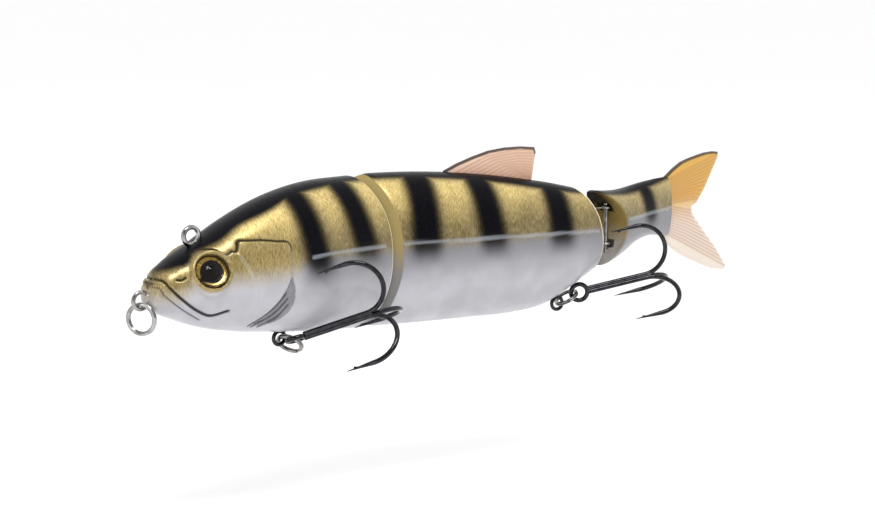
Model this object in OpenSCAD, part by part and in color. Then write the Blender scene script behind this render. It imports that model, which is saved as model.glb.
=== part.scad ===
// Three-section hard swimbait: hollow head, middle and tail sections that swing on two
// vertical pins, two treble hooks on split rings, two line ties and replaceable fins.
// Origin: centre of the forehead line tie's hole. Nose towards -X, left flank towards -Y, +Z up.

/* [Pose] */
// Swing of the middle section from straight, about the front pin
front_bend = -12; // [-20:1:20]
// Swing of the tail section from straight, about the rear pin
rear_bend = 17; // [-25:1:25]

/* [Body] */
// Thickness of the moulded shells
wall = 1.6; // [1.2:0.1:2]
// Squareness of the body's cross-section, where 2 is an ellipse
squareness = 2.25; // [2:0.05:2.5]
// Diameter of the ballast balls
ballast_d = 6.4; // [5:0.2:7]

/* [Joints] */
// Distance of the front pin behind the forehead line tie
front_pin_x = 54; // [53:0.5:55]
// Distance of the rear pin behind the forehead line tie
rear_pin_x = 123.7; // [123.2:0.1:124.2]
// Diameter of the front pin
front_pin_d = 1.6; // [1.4:0.1:1.8]
// Diameter of the rear pin
rear_pin_d = 1.2; // [1:0.1:1.4]
// Radial clearance of the screw eyes on their pins
pin_gap = 0.08; // [0.06:0.01:0.1]

/* [Line ties and rings] */
// Radius of the hole in the forehead line tie
tie_hole_r = 1.55; // [1.4:0.05:1.6]
// Wire diameter of the forehead line tie
tie_wire_d = 1.2; // [1:0.1:1.3]
// Wire diameter of the nose tie and the hook hangers
hanger_wire_d = 1; // [0.9:0.05:1.1]
// Outer diameter of the nose split ring
nose_ring_d = 7.8; // [7.4:0.1:8.2]
// Outer diameter of the hook split rings
hook_ring_d = 7; // [6.8:0.1:7.2]
// Thickness of the split rings' coiled wire
ring_wire_d = 1; // [0.9:0.05:1]

/* [Treble hooks] */
// Length from the centre of the hook's eye to the start of its bends
shank_length = 18.5; // [17.5:0.5:19.5]
// Radius of the hook bends
bend_radius = 6.8; // [6.4:0.1:7.2]
// Diameter of the hook wire
hook_wire_d = 1.25; // [1.1:0.05:1.4]
// Length of the tapered hook points
point_length = 7; // [6:0.1:7.5]
// Inner radius of the hook's eye
hook_eye_r = 1.6; // [1.5:0.05:1.8]

/* [Eyes and fins] */
// Diameter of the fish's iris
iris_d = 7.6; // [7:0.1:8]
// Thickness of the soft fins
fin_t = 1.4; // [1.2:0.1:1.6]

/* [Hidden] */
$fn = 48;

// Lengthwise outlines of the fish, as [distance from the forehead tie, value]
back_line = [[-12.6, -11.9], [-12.1, -10.5], [-10.5, -8], [-7, -5.4], [0, -1.8], [9, 3], [20, 7.5],
  [32, 10.2], [46, 10.8], [62, 10.8], [80, 9.6], [103, 6.2], [119, 3], [127, 2.4], [141, 3.8], [150, 4.4]];
belly_line = [[-12.6, -14.4], [-12.1, -15.6], [-10.5, -16.9], [-7, -18.6], [0, -21.4], [9, -23.6],
  [20, -25.2], [46, -27.5], [80, -28.1], [93, -28], [103, -26.6], [111, -22.8], [119, -18.2],
  [127, -15.6], [134, -12.6], [141, -11.5], [150, -12.6]];
flank_line = [[-12.6, 1.3], [-12.1, 2.9], [-10.5, 4.6], [-7, 6.2], [0, 8.1], [9, 9.5], [20, 10.6],
  [32, 11.2], [46, 11.4], [62, 11.2], [80, 10.5], [103, 8.9], [119, 7.2], [134, 4.9], [150, 2.3]];
widest_line = [[-12.6, -13.2], [-7, -12], [9, -10.2], [46, -8.4], [93, -7.6], [119, -6], [150, -4.4]];

// Where the sections end
snout_x = -12.6;
snout_wall_x = -9.5;
head_wall_x = 40;
head_rim_x = 48;
head_face_r = 15.9;
head_face_x = 62.4;
nose_rim_x = 52;
nose_block_x = 60;
nose_r = 11.5;
nose_x = 59;
middle_wall_x = 110;
middle_rim_x = 118;
middle_rear_x = 102.5;
middle_rear_z = -12;
middle_rear_reach = 17;
middle_rear_r = 20;
middle_rear_curve = 0.015;
tail_rim_x = 122;
tail_face_r = 11.2;
tail_face_x = 114;
tail_face_z = -7.9;
tail_wall_x = 130;
tail_end_x = 150;
fin_slot_x = 143;
fin_slot_wall = 1.5;

// Screw eyes of the joints
front_eye_z = [3, -17];
rear_eye_z = [-1.9, -11.8];
joint_wire_d = 1.1;
rear_wire_d = 1;

// Line ties, hangers, rings and hooks
nose_tie = [-13.8, 0, -13.7];
nose_tie_r = 2;
nose_link = [-13.8, 0, -14.6];
nose_ring_yaw = 30;
hanger_r = 1.65;
front_hanger = [24.5, 0, -27.4];
rear_hanger = [108.4, 0, -27];
front_ring_aim = [-38, 30, -30];
front_hook_eye = [26.5, -4.3, -27.25];
front_hook_aim = [14.5, -19.8, -47];
rear_ring_aim = [5, -30, -13];
rear_hook_eye = [114, -2.2, -24.15];
rear_hook_aim = [4.5, -12.5, -21];
point_d = 0.16;
solder_d = 1.6;
solder_past_bend = 1.6;
barb = [0.45, 1.5];

// Eye of the fish
eye_centre = [0.6, -8, -7.3];
eye_aim = [62, 0, -15];
socket_depth = 1.6;
pupil_d = 5.4;

shell_gold = [0.80, 0.66, 0.36];
steel = [0.55, 0.55, 0.56];
black_nickel = [0.12, 0.12, 0.14];

// Smooth curve through a list of [x, value] points
function slope(p, i) =
  i == 0 ? (p[1][1] - p[0][1]) / (p[1][0] - p[0][0]) :
  i == len(p) - 1 ? (p[i][1] - p[i - 1][1]) / (p[i][0] - p[i - 1][0]) :
  let (a = p[i][0] - p[i - 1][0], b = p[i + 1][0] - p[i][0])
  ((p[i][1] - p[i - 1][1]) / a * b + (p[i + 1][1] - p[i][1]) / b * a) / (a + b);
function span(x, p, i = 0) = i >= len(p) - 2 || x < p[i + 1][0] ? i : span(x, p, i + 1);
function smooth(x, p) =
  let (i = span(x, p), h = p[i + 1][0] - p[i][0], t = (x - p[i][0]) / h)
  (2 * t ^ 3 - 3 * t ^ 2 + 1) * p[i][1] + (t ^ 3 - 2 * t ^ 2 + t) * h * slope(p, i)
  + (3 * t ^ 2 - 2 * t ^ 3) * p[i + 1][1] + (t ^ 3 - t ^ 2) * h * slope(p, i + 1);

// Point of the body's surface at a distance x, an angle down from the back and an inset
function skin(x, a, inset) =
  let (mid = smooth(x, widest_line),
       reach = a < 90 ? smooth(x, back_line) - inset - mid : mid - smooth(x, belly_line) - inset)
  [x, (smooth(x, flank_line) - inset) * sin(a) ^ (2 / squareness),
   mid + reach * sign(cos(a)) * abs(cos(a)) ^ (2 / squareness)];

// End faces of the sections, as x for a height and a distance from the centre plane
head_front = function (y, z) snout_x;
head_inner_front = function (y, z) snout_wall_x;
head_rear = function (y, z) head_face_x - sqrt(head_face_r ^ 2 - y ^ 2);
head_inner_rear = function (y, z) head_wall_x;
middle_front = function (y, z) nose_x - sqrt(max(1, nose_r ^ 2 - y ^ 2));
middle_inner_front = function (y, z) nose_block_x;
middle_rear = function (y, z) middle_rear_x - middle_rear_curve * y ^ 2
  + middle_rear_reach * sqrt(max(0.01, 1 - ((z - middle_rear_z) / middle_rear_r) ^ 2));
middle_inner_rear = function (y, z) middle_wall_x;
tail_front = function (y, z) tail_face_x + sqrt(max(1, tail_face_r ^ 2 - (z - tail_face_z) ^ 2));
tail_inner_front = function (y, z) tail_wall_x;
tail_rear = function (y, z) tail_end_x;
tail_inner_rear = function (y, z) fin_slot_x - fin_slot_wall;

// Rings of points over one half of a section: end face, skin, end face
sides = 14;
head_rings = 20;
middle_rings = 22;
tail_rings = 14;
function face_ring(face, x, inset, k) =
  let (mid = smooth(x, widest_line))
  [for (j = [0 : sides]) let (p = skin(x, 180 * j / sides, inset), y = k * p.y, z = mid + k * (p.z - mid))
    [face(y, z), y, z]];
function skin_ring(front, rear, x0, x1, inset, t) =
  [for (j = [0 : sides]) let (a = 180 * j / sides, p = skin(x0, a, inset), q = skin(x1, a, inset))
    skin((1 - t) * front(p.y, p.z) + t * rear(q.y, q.z), a, inset)];
function half_points(front, rear, x0, x1, inset, rings, crowd) = concat(
  [[front(0, smooth(x0, widest_line)), 0, smooth(x0, widest_line)]],
  [for (k = [0.35, 0.7]) each face_ring(front, x0, inset, k)],
  [for (i = [0 : rings]) each skin_ring(front, rear, x0, x1, inset, (i / rings) ^ crowd)],
  [for (k = [0.7, 0.35]) each face_ring(rear, x1, inset, k)],
  [[rear(0, smooth(x1, widest_line)), 0, smooth(x1, widest_line)]]);

// Closed half of a hollow section between an outer and an inner surface
module half_shell(outer, inner, rings) {
  rows = rings + 5;
  row = sides + 1;
  n = len(outer);
  function at(base, r, j) = base + 1 + r * row + j;
  polyhedron(points = concat(outer, inner), convexity = 8, faces = concat(
    [for (j = [0 : sides - 1]) each [
      [0, at(0, 0, j + 1), at(0, 0, j)], [n - 1, at(0, rows - 1, j), at(0, rows - 1, j + 1)],
      [n, at(n, 0, j), at(n, 0, j + 1)], [2 * n - 1, at(n, rows - 1, j + 1), at(n, rows - 1, j)]]],
    [for (r = [0 : rows - 2], j = [0 : sides - 1]) each [
      [at(0, r, j), at(0, r + 1, j + 1), at(0, r + 1, j)], [at(0, r, j), at(0, r, j + 1), at(0, r + 1, j + 1)],
      [at(n, r, j), at(n, r + 1, j), at(n, r + 1, j + 1)],
      [at(n, r, j), at(n, r + 1, j + 1), at(n, r, j + 1)]]],
    [for (r = [0 : rows - 2]) each [
      [at(0, r, 0), at(0, r + 1, 0), at(n, r, 0)], [at(n, r, 0), at(0, r + 1, 0), at(n, r + 1, 0)],
      [at(0, r, sides), at(n, r, sides), at(0, r + 1, sides)],
      [at(n, r, sides), at(n, r + 1, sides), at(0, r + 1, sides)]]],
    [[0, at(0, 0, 0), n], [n, at(0, 0, 0), at(n, 0, 0)],
     [0, n, at(0, 0, sides)], [n, at(n, 0, sides), at(0, 0, sides)],
     [n - 1, 2 * n - 1, at(0, rows - 1, 0)], [2 * n - 1, at(n, rows - 1, 0), at(0, rows - 1, 0)],
     [n - 1, at(0, rows - 1, sides), 2 * n - 1],
     [2 * n - 1, at(0, rows - 1, sides), at(n, rows - 1, sides)]]));
}

module in_middle() {
  translate([front_pin_x, 0, 0]) rotate(front_bend) translate([-front_pin_x, 0, 0]) children();
}

module in_tail() {
  in_middle() translate([rear_pin_x, 0, 0]) rotate(rear_bend) translate([-rear_pin_x, 0, 0]) children();
}

module ring(mean_r, wire_d) {
  rotate_extrude() translate([mean_r, 0]) circle(d = wire_d, $fn = 24);
}

// Wire eye round a vertical pin, with its shank running towards -X
module screw_eye(pin_d, wire_d, shank) {
  mean_r = pin_d / 2 + pin_gap + wire_d / 2;
  ring(mean_r, wire_d);
  translate([-mean_r, 0, 0]) rotate([0, -90, 0]) cylinder(h = shank, d = wire_d);
}

// Upright wire loop below the body, with its shank running up into the shell
module hanger(place, shank) {
  translate(place) {
    rotate([90, 0, 0]) ring(hanger_r, hanger_wire_d);
    translate([0, 0, hanger_r]) cylinder(h = shank, d = hanger_wire_d);
  }
}

// ---- Head section ----

module head_half() {
  difference() {
    half_shell(half_points(head_front, head_rear, snout_x, head_rim_x, 0, head_rings, 1.5),
      half_points(head_inner_front, head_inner_rear, snout_wall_x, head_wall_x, wall, head_rings, 1.3),
      head_rings);
    mirror([0, 1, 0]) translate(eye_centre) rotate(eye_aim) translate([0, 0, -socket_depth])
      cylinder(h = 5, d = iris_d + 0.4);
  }
}

module head_shell_left() { color(shell_gold) mirror([0, 1, 0]) head_half(); }

module head_shell_right() { color(shell_gold) head_half(); }

module nose_line_tie() {
  color(steel) {
    translate(nose_tie) rotate([90, 0, 0]) ring(nose_tie_r, hanger_wire_d);
    translate(nose_tie + [nose_tie_r, 0, 0]) rotate([0, 90, 0]) cylinder(h = 5, d = hanger_wire_d);
  }
}

module top_line_tie() {
  mean_r = tie_hole_r + tie_wire_d / 2 - 0.1;
  color(steel) {
    rotate([90, 0, 0]) rotate_extrude() intersection() {
      translate([mean_r, 0]) circle(d = tie_wire_d, $fn = 32);
      translate([tie_hole_r, -1]) square([2, 2]);
    }
    rotate([0, 153, 0]) translate([0, 0, mean_r]) cylinder(h = 6, d = tie_wire_d);
  }
}

// Places a child on the left eye, its +Z out of the head
module on_eye() { translate(eye_centre) rotate(eye_aim) children(); }

module iris() {
  on_eye() translate([0, 0, 0.1 - socket_depth])
    cylinder(h = 0.7, d1 = iris_d, d2 = iris_d - 0.2);
}

module pupil() {
  on_eye() translate([0, 0, 0.85 - socket_depth]) linear_extrude(0.2) hull() {
    circle(d = pupil_d);
    translate([-2.5, -1.7]) circle(d = 0.8);
  }
}

module lens() {
  lens_d = iris_d - 0.1;
  crown = 1.3;
  dome_r = (lens_d ^ 2 / 4 + crown ^ 2) / (2 * crown);
  on_eye() translate([0, 0, 1.1 - socket_depth]) intersection() {
    translate([0, 0, crown - dome_r]) sphere(r = dome_r, $fn = 64);
    cylinder(h = 3, d = lens_d);
  }
}

module eye_iris_left() { color("goldenrod") iris(); }

module eye_iris_right() { color("goldenrod") mirror([0, 1, 0]) iris(); }

module eye_pupil_left() { color("black") pupil(); }

module eye_pupil_right() { color("black") mirror([0, 1, 0]) pupil(); }

module eye_lens_left() { color([1, 1, 1, 0.3]) lens(); }

module eye_lens_right() { color([1, 1, 1, 0.3]) mirror([0, 1, 0]) lens(); }

module ballast(places) {
  for (x = places)
    translate([x, 0, smooth(x, belly_line) + wall + ballast_d / 2]) sphere(d = ballast_d);
}

module head_ballast() { color("gray") ballast([9, 16.5, 32]); }

module front_hook_hanger() { color(black_nickel) hanger(front_hanger, 6); }

module front_joint_eye(z) {
  color(steel) translate([front_pin_x, 0, z]) screw_eye(front_pin_d, joint_wire_d, 11);
}

module front_joint_eye_upper() { front_joint_eye(front_eye_z[0]); }

module front_joint_eye_lower() { front_joint_eye(front_eye_z[1]); }

// ---- Rings and hooks ----

// Ring whose wire passes through the place it is linked at, with its centre towards +X before it is aimed
module linked_ring(place, aim, outer_d) {
  mean_r = (outer_d - ring_wire_d) / 2;
  placed(place, aim) translate([mean_r, 0, 0]) ring(mean_r, ring_wire_d);
}

module placed(place, aim) { translate(place) rotate(aim) children(); }

module nose_split_ring() { color(steel) linked_ring(nose_link, [0, 90, nose_ring_yaw], nose_ring_d); }

module front_hook_split_ring() { color(steel) linked_ring(front_hanger, front_ring_aim, hook_ring_d); }

module rear_hook_split_ring() { color(steel) in_middle() linked_ring(rear_hanger, rear_ring_aim, hook_ring_d); }

// Treble hook along +X from the centre of its eye: three wires with solder between their shanks
module treble(eye_turn) {
  eye_mean_r = hook_eye_r + hook_wire_d / 2;
  wire_offset = 0.45 * hook_wire_d;
  bend_y = wire_offset + bend_radius;
  rotate([eye_turn, 0, 0]) ring(eye_mean_r, hook_wire_d);
  translate([eye_mean_r, 0, 0]) rotate([0, 90, 0])
    cylinder(h = shank_length - eye_mean_r + solder_past_bend, d = solder_d, $fn = 24);
  for (turn = [0, 120, 240]) rotate([turn, 0, 0]) {
    translate([eye_mean_r, 0, wire_offset]) rotate([0, 90, 0])
      cylinder(h = shank_length - eye_mean_r, d = hook_wire_d, $fn = 24);
    translate([shank_length, 0, bend_y]) rotate([90, 0, 0]) rotate(-90)
      rotate_extrude(angle = 180) translate([bend_radius, 0]) circle(d = hook_wire_d, $fn = 24);
    translate([shank_length, 0, bend_y + bend_radius]) rotate([0, -90, 0])
      cylinder(h = point_length, d1 = hook_wire_d, d2 = point_d, $fn = 24);
    translate([shank_length - point_length + 2.6, 0, bend_y + bend_radius - 0.3]) rotate([0, -105, 0])
      cylinder(h = barb[1], d1 = 0.2, d2 = barb[0], center = true, $fn = 16);
  }
}

module front_treble_hook() { color(black_nickel) placed(front_hook_eye, front_hook_aim) treble(-30); }

module rear_treble_hook() { color(black_nickel) in_middle() placed(rear_hook_eye, rear_hook_aim) treble(90); }

// ---- Middle section ----

module middle_half() {
  difference() {
    half_shell(half_points(middle_front, middle_rear, nose_rim_x, middle_rim_x, 0, middle_rings, 1),
      half_points(middle_inner_front, middle_inner_rear, nose_block_x, middle_wall_x, wall, middle_rings, 1),
      middle_rings);
    for (z = front_eye_z) translate([front_pin_x - 10, -3.5, z - 1]) cube([13, 7, 2]);
  }
}

module middle_shell_left() { color(shell_gold) in_middle() mirror([0, 1, 0]) middle_half(); }

module middle_shell_right() { color(shell_gold) in_middle() middle_half(); }

module front_joint_pin() {
  pin_low = smooth(front_pin_x, belly_line) + 0.6;
  color(steel) translate([front_pin_x, 0, pin_low]) cylinder(h = 7.5 - pin_low, d = front_pin_d);
}

module dorsal_fin() {
  color([0.85, 0.66, 0.58]) in_middle() rotate([90, 0, 0]) linear_extrude(fin_t, center = true)
    polygon([[75, 8.6], [73.7, 10.4], [77.5, 12.1], [82.2, 13.7], [86.9, 15], [91.7, 15.6], [96.6, 15.7],
      [100.8, 15.3], [101.2, 14], [100.6, 10.6], [100, 6.9], [99.5, 5.4]]);
}

module middle_ballast() { color("gray") in_middle() ballast([68, 75, 82]); }

module rear_hook_hanger() { color(black_nickel) in_middle() hanger(rear_hanger, 7); }

module rear_joint_eye(z) {
  color(steel) in_middle() translate([rear_pin_x, 0, z]) screw_eye(rear_pin_d, rear_wire_d, 11);
}

module rear_joint_eye_upper() { rear_joint_eye(rear_eye_z[0]); }

module rear_joint_eye_lower() { rear_joint_eye(rear_eye_z[1]); }

// ---- Tail section ----

module tail_half() {
  difference() {
    half_shell(half_points(tail_front, tail_rear, tail_rim_x, tail_end_x, 0, tail_rings, 1),
      half_points(tail_inner_front, tail_inner_rear, tail_wall_x, fin_slot_x - fin_slot_wall, wall,
        tail_rings, 1), tail_rings);
    for (z = rear_eye_z) translate([rear_pin_x, 0, z - 1.1]) cylinder(h = 2.2, r = 2.4);
    translate([fin_slot_x, -fin_t / 2, -20]) cube([10, fin_t, 30]);
  }
}

module tail_shell_left() { color(shell_gold) in_tail() mirror([0, 1, 0]) tail_half(); }

module tail_shell_right() { color(shell_gold) in_tail() tail_half(); }

module rear_joint_pin() {
  color(steel) in_tail() translate([rear_pin_x, 0, -15.6]) cylinder(h = 17, d = rear_pin_d);
}

module tail_fin() {
  color([0.86, 0.6, 0.36]) in_tail() rotate([90, 0, 0]) linear_extrude(fin_t, center = true)
    polygon([[fin_slot_x, 2], [149, 2.6], [148.8, 4.3], [152.3, 6.3], [155.9, 7.9], [159.5, 8.7], [163.2, 9.3],
      [167, 9.8], [170.8, 9.9], [173.2, 9.6], [173.3, 8.3], [171, 5], [167.4, -0.2], [163.7, -4.2], [161.4, -5.1],
      [161.5, -6.8], [163.9, -9.4], [167.9, -13.3], [171.9, -16.9], [175.9, -21.2], [178.5, -24.4],
      [177.1, -25.1], [172.1, -24.3], [168.3, -23.1], [164.4, -21.6], [160.6, -20.2], [156.8, -18.6],
      [153, -16.5], [149.3, -13.9], [149, -10.6], [fin_slot_x, -9.6]]);
}

module tail_fin_pin() {
  color(steel) in_tail() translate([146.6, 0, -4.6]) rotate([90, 0, 0]) cylinder(h = 6, d = 1.1, center = true);
}

head_shell_left();
head_shell_right();
nose_line_tie();
top_line_tie();
eye_iris_left();
eye_iris_right();
eye_pupil_left();
eye_pupil_right();
eye_lens_left();
eye_lens_right();
head_ballast();
front_hook_hanger();
front_joint_eye_upper();
front_joint_eye_lower();
nose_split_ring();
front_hook_split_ring();
front_treble_hook();
middle_shell_left();
middle_shell_right();
front_joint_pin();
dorsal_fin();
middle_ballast();
rear_hook_hanger();
rear_joint_eye_upper();
rear_joint_eye_lower();
rear_hook_split_ring();
rear_treble_hook();
tail_shell_left();
tail_shell_right();
rear_joint_pin();
tail_fin();
tail_fin_pin();
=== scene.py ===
import math

import bmesh
import bpy
import numpy as np
from mathutils import Matrix, Vector
from mathutils.geometry import delaunay_2d_cdt


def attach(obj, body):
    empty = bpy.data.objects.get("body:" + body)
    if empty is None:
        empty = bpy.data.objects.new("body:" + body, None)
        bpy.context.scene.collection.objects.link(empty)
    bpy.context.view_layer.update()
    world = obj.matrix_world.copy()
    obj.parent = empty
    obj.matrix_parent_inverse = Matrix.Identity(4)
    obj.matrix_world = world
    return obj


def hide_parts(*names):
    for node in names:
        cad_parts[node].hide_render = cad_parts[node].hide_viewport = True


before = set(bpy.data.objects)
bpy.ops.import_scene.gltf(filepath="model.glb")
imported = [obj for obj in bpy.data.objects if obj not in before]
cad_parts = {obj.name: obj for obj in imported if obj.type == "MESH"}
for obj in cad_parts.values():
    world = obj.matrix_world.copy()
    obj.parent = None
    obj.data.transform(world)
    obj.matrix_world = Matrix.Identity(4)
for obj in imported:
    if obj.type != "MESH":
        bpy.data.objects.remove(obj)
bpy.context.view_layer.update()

MM = 0.001

# ---- The fish's outlines, in millimetres, as in part.scad ----
BACK = [(-12.6, -11.9), (-12.1, -10.5), (-10.5, -8), (-7, -5.4), (0, -1.8), (9, 3), (20, 7.5), (32, 10.2),
        (46, 10.8), (62, 10.8), (80, 9.6), (103, 6.2), (119, 3), (127, 2.4), (141, 3.8), (150, 4.4)]
BELLY = [(-12.6, -14.4), (-12.1, -15.6), (-10.5, -16.9), (-7, -18.6), (0, -21.4), (9, -23.6), (20, -25.2),
         (46, -27.5), (80, -28.1), (93, -28), (103, -26.6), (111, -22.8), (119, -18.2), (127, -15.6),
         (134, -12.6), (141, -11.5), (150, -12.6)]
FLANK = [(-12.6, 1.3), (-12.1, 2.9), (-10.5, 4.6), (-7, 6.2), (0, 8.1), (9, 9.5), (20, 10.6), (32, 11.2),
         (46, 11.4), (62, 11.2), (80, 10.5), (103, 8.9), (119, 7.2), (134, 4.9), (150, 2.3)]
WIDEST = [(-12.6, -13.2), (-7, -12), (9, -10.2), (46, -8.4), (93, -7.6), (119, -6), (150, -4.4)]
SQUARENESS = 2.25
# Where each section's skin starts and stops on the top and bottom of the fish
SNOUT_X, HEAD_RIM_X = -12.6, 48
NOSE_RIM_X, MIDDLE_RIM_X = 52, 118
TAIL_RIM_X, TAIL_END_X = 122, 150.0
# End faces: place and radius of each curve
HEAD_FACE_X, HEAD_FACE_R = 62.4, 15.9
NOSE_X, NOSE_R = 59, 11.5
MIDDLE_REAR_X, MIDDLE_REAR_Z = 102.5, -12
MIDDLE_REAR_R, MIDDLE_REAR_REACH, MIDDLE_REAR_CURVE = 20, 17, 0.015
TAIL_FACE_X, TAIL_FACE_Z, TAIL_FACE_R = 114, -7.9, 11.2
# Between the middle section's two end faces
MIDDLE_HALFWAY_X = 80
BEVEL, BEVEL_LENGTH = 0.28, 0.45
# Rounded nose of the middle section: length, depth, and the share of the outline that its end face keeps
NOSE_ROUND, NOSE_DEPTH, NOSE_SHARE = 5.0, 1.7, 0.84

# ---- Joints, openings and the eye, as in part.scad ----
FRONT_PIN, REAR_PIN = 54.0, 123.7
FRONT_BEND, REAR_BEND = -12.0, 17.0
FRONT_EYE_Z, REAR_EYE_Z = (3, -17), (-1.9, -11.8)
# Slots for the front eyes: reach ahead of the pin and behind it, half width and half height
FRONT_SLOT_AHEAD, FRONT_SLOT_BEHIND, FRONT_SLOT_Y, FRONT_SLOT_Z = 10, 3, 3.5, 1
REAR_POCKET_R, REAR_POCKET_H = 2.4, 2.2
FIN_SLOT_X, FIN_T = 143, 1.4
NOSE_RING_D, HOOK_RING_D, RING_WIRE_D = 7.8, 7.0, 1.0
EYE = (0.6, -8.0, -7.3)
EYE_AIM = (62.0, 0.0, -15.0)
# The eye's surroundings, by radius from its centre and by height along its axis
SOCKET_R, SOCKET_Z = 4.02, -1.62
LAND_R, LAND_INNER_R, LAND_Z, LAND_SHARE = 4.9, 4.3, -0.15, 0.85
EYE_RIM_R, EYE_RIM_WIDTH, EYE_RIM_HEIGHT = 4.55, 0.55, 0.55
EYE_REACH, EYE_BACK_Z = 7, -6

# ---- The painted and moulded lines of the flank, as (x, z) on the straight fish ----
MOUTH = [(-12.4, -9.4), (-11.2, -8.9), (-10.4, -8.9), (-9.2, -10.6), (-6.2, -13.8), (-2.2, -16.8),
         (0.4, -18), (4.8, -17.2)]
LIP = [(-12.4, -10.8), (-11.5, -10.5), (-10.2, -12.4), (-7.9, -14.6), (-4.6, -17), (-1.5, -18.9)]
NOSTRIL = [(-7.4, -8.9), (-6.5, -9), (-5.5, -8.5)]
PLATE = [(4.2, -4.1), (5.2, -3.9), (6.1, -3.3), (7, -3.5), (7.5, -2.6), (7.9, -1.4), (10.6, -1.2),
         (13.6, -1.3), (17.2, -1.8), (20.7, -2.5), (21, -5.9), (21, -10.1), (19.3, -14.2), (15.5, -18.6),
         (11.4, -21.3)]
PLATE_CLOSING = [(4, -21.5), (-2, -16), (-1, -6)]
CHEEK = [(7.5, -4.4), (9.5, -7.7), (10.9, -11.4), (11.7, -15.2), (11.4, -18.4)]
BROW = [(-0.6, -2.9), (0.6, -2.7), (2.3, -2.8), (3.4, -3.4), (4.2, -4.1)]
RECESS = [(21.2, -10.4), (22.2, -13.8), (21.4, -19), (18.5, -21.4), (15, -22.2)]
SLITS = [[(19.9, -14.6), (16.6, -18.4), (11.6, -21.9)], [(20.6, -16), (17.4, -19.6), (12.6, -22.3)],
         [(21, -17.6), (18.4, -20.6), (14.4, -22.5)]]
# Lines cut in the head: the points, the groove's width and depth, and the half width of the ink in it
HEAD_LINES = [(MOUTH, 0.3, 0.5, 0.34), (LIP, 0.3, 0.24, 0.12), (NOSTRIL, 0.26, 0.4, 0.3),
              (BROW, 0.24, 0.3, 0.3), *((slit, 0.26, 0.4, 0.2) for slit in SLITS)]
PLATE_GROOVE = (0.28, 0.3)
PLATE_RISE, RECESS_DEPTH, CHEEK_RISE, LIP_RISE, LATERAL_RISE = 0.5, 0.45, 0.2, 0.18, 0.1
PLATE_INK = 0.26
INK_SOFT = 0.14
# How many of the plate line's last points lie along the recess
RECESS_EDGE = 22
LATERAL = [[(27.2, -6.5), (33, -6), (40, -5.9), (48.6, -5.8)],
           [(57, -5.7), (77.7, -6.1), (98.5, -6.5), (116.5, -7)],
           [(126.4, -4.9), (133.7, -4.6), (145.1, -4.2), (150, -4)]]
# Lower edge of the black on the back
BLACK_BACK = [(-12.6, -11.2), (-10.8, -8.4), (-7, -6.6), (-4, -5.6), (-2.2, -4), (1, -2.6), (4.5, -1.2),
              (9.3, 1.5), (17.4, 4.5), (24.7, 7.2), (39.2, 9.4), (54, 9.7), (73, 8.7), (89, 6.7), (104, 4),
              (119, 2), (127, 1.3), (134, 1.6), (141, 2.5), (150, 3.8)]
# Bars: middle at BAR_Z, shift of the middle for each millimetre up, half width, height where it fades
BAR_Z = 2
BARS = [(27, -0.2, 3.2, -8.5), (41.2, -0.25, 3.4, -6), (63.4, 0, 4.1, -7), (81.8, -0.15, 3.8, -7),
        (103.6, -0.1, 3.6, -7.5), (136.6, -0.2, 2.7, -5)]

# ---- Colours of the end faces, above and below the lateral line, with painted highlights and painted shade ----
# On the head they are a painted highlight along the rim of its rear face
END_COLOURS = {"head": ((0.60, 0.52, 0.34), (0.70, 0.69, 0.68)),
               # On the middle's nose: gold above and grey below, both darkened as painted shade
               "middle": ((0.30, 0.23, 0.09), (0.20, 0.195, 0.19)),
               "tail": ((0.24, 0.17, 0.055), (0.30, 0.29, 0.28))}
# Painted highlight along the rim of the middle section's rear face
MIDDLE_REAR_HIGHLIGHT = (0.74, 0.68, 0.54)

# ---- Colours of the skin: a pair is mixed by noise, or from painted shade to painted light higher up the back ----
# Each gold pair is the foil in painted shade and in painted light
DEEP_GOLD_SHADED_LIT = (0.11, 0.078, 0.022), (0.44, 0.31, 0.085)
PALE_GOLD_SHADED_LIT = (0.26, 0.20, 0.085), (0.80, 0.62, 0.25)
# The crease colours are painted shade in the creases between the scales
GOLD_SCALE, GOLD_CREASE_SHADE = (0.80, 0.68, 0.40), (0.15, 0.105, 0.035)
PEARL = (0.385, 0.38, 0.41), (0.46, 0.455, 0.49)
PEARL_FLANK, PEARL_CREASE_SHADE = (0.15, 0.15, 0.165), (0.2, 0.2, 0.23)
# Ink, also used for the painted shade in the head's recess and eye socket
INK_AND_PAINTED_SHADE = (0.0005, 0.0005, 0.001), (0.004, 0.004, 0.008)
# Grey of the lateral line, also used for the painted highlights on the head's ridges
LINE_AND_HIGHLIGHT_GREY = (0.42, 0.45, 0.50)
# Length and height of one fish scale
SCALE_LONG, SCALE_TALL = 1.35, 1.2

# ---- Fins: spacing of their points, the edge's half thickness as a share of the whole, and the rays ----
FIN_EDGE_STEP, FIN_GRID, FIN_MARGIN = 0.5, 0.32, 0.4
FIN_EDGE_SHARE = 0.16
RAY_WIDTH, RAY_HEIGHT = 0.24, 0.13


# ---- Curves ----
def smooth(x, points):
    """The same curve through points as part.scad's."""
    px, py = np.array(points, float).T
    x = np.clip(x, px[0], px[-1])
    d, h = np.diff(py) / np.diff(px), np.diff(px)
    m = np.empty(len(px))
    m[0], m[-1] = d[0], d[-1]
    m[1:-1] = (d[:-1] * h[1:] + d[1:] * h[:-1]) / (h[:-1] + h[1:])
    i = np.clip(np.searchsorted(px, x, "right") - 1, 0, len(px) - 2)
    t = (x - px[i]) / h[i]
    return ((2 * t**3 - 3 * t**2 + 1) * py[i] + (t**3 - 2 * t**2 + t) * h[i] * m[i]
            + (3 * t**2 - 2 * t**3) * py[i + 1] + (t**3 - t**2) * h[i] * m[i + 1])


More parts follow.
